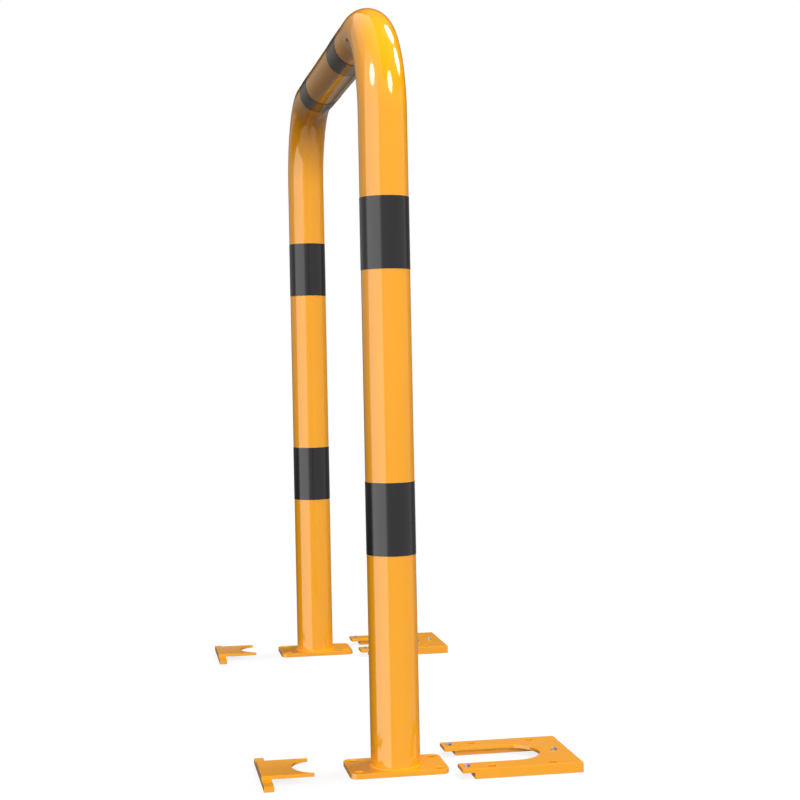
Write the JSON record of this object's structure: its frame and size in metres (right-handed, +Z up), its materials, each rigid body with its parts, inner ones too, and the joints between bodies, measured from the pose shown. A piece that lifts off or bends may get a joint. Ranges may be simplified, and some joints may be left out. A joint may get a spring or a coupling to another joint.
{
  "type": "removable hoop barrier",
  "caption": "Yellow tubular hoop barrier with black bands; its base plates slide into slotted floor shoes and are held by T-shaped lock plates and set screws.",
  "frame": {"origin": "on the floor in the middle of the laid-out set", "axes": "+Z up, X across the hoop from post to post, +Y the way the hoop slides into its floor shoes"},
  "size_m": [1.084, 0.4846, 1.2004],
  "materials": {
    "yellow_coating": "smooth gloss coating on steel",
    "black_film": "thin film, smooth",
    "screw_steel": "plain machined steel"
  },
  "bodies": {
    "floor_shoes": {"right_floor_shoe": "yellow_coating", "left_floor_shoe": "yellow_coating"},
    "hoop": {"hoop_tube": "yellow_coating", "right_base_plate": "yellow_coating", "right_weld_bead": "yellow_coating", "right_lower_band": "black_film", "right_upper_band": "black_film", "right_top_band": "black_film", "left_base_plate": "yellow_coating", "left_weld_bead": "yellow_coating", "left_lower_band": "black_film", "left_upper_band": "black_film", "left_top_band": "black_film"},
    "right_lock": {"right_lock_plate": "yellow_coating"},
    "right_outer_screw": {"right_outer_set_screw": "screw_steel"},
    "right_inner_screw": {"right_inner_set_screw": "screw_steel"},
    "right_end_screw": {"right_end_set_screw": "screw_steel"},
    "left_lock": {"left_lock_plate": "yellow_coating"},
    "left_outer_screw": {"left_outer_set_screw": "screw_steel"},
    "left_inner_screw": {"left_inner_set_screw": "screw_steel"},
    "left_end_screw": {"left_end_set_screw": "screw_steel"}
  },
  "joints": [
    {"name": "hoop_slide", "type": "slide", "parent": "floor_shoes", "child": "hoop", "axis": [0, 1, 0], "range_m": [0, 0.182]},
    {"name": "right_lock_slide", "type": "slide", "parent": "hoop", "child": "right_lock", "axis": [0, 1, 0], "range_m": [0, 0.119]},
    {"name": "right_outer_screw_lift", "type": "slide", "parent": "floor_shoes", "child": "right_outer_screw", "axis": [0, 0, 1], "range_m": [0, 0.055]},
    {"name": "right_inner_screw_lift", "type": "slide", "parent": "floor_shoes", "child": "right_inner_screw", "axis": [0, 0, 1], "range_m": [0, 0.055]},
    {"name": "right_end_screw_lift", "type": "slide", "parent": "floor_shoes", "child": "right_end_screw", "axis": [0, 0, 1], "range_m": [0, 0.055]},
    {"name": "left_lock_slide", "type": "slide", "parent": "hoop", "child": "left_lock", "axis": [0, 1, 0], "range_m": [0, 0.119]},
    {"name": "left_outer_screw_lift", "type": "slide", "parent": "floor_shoes", "child": "left_outer_screw", "axis": [0, 0, 1], "range_m": [0, 0.055]},
    {"name": "left_inner_screw_lift", "type": "slide", "parent": "floor_shoes", "child": "left_inner_screw", "axis": [0, 0, 1], "range_m": [0, 0.055]},
    {"name": "left_end_screw_lift", "type": "slide", "parent": "floor_shoes", "child": "left_end_screw", "axis": [0, 0, 1], "range_m": [0, 0.055]}
  ]
}
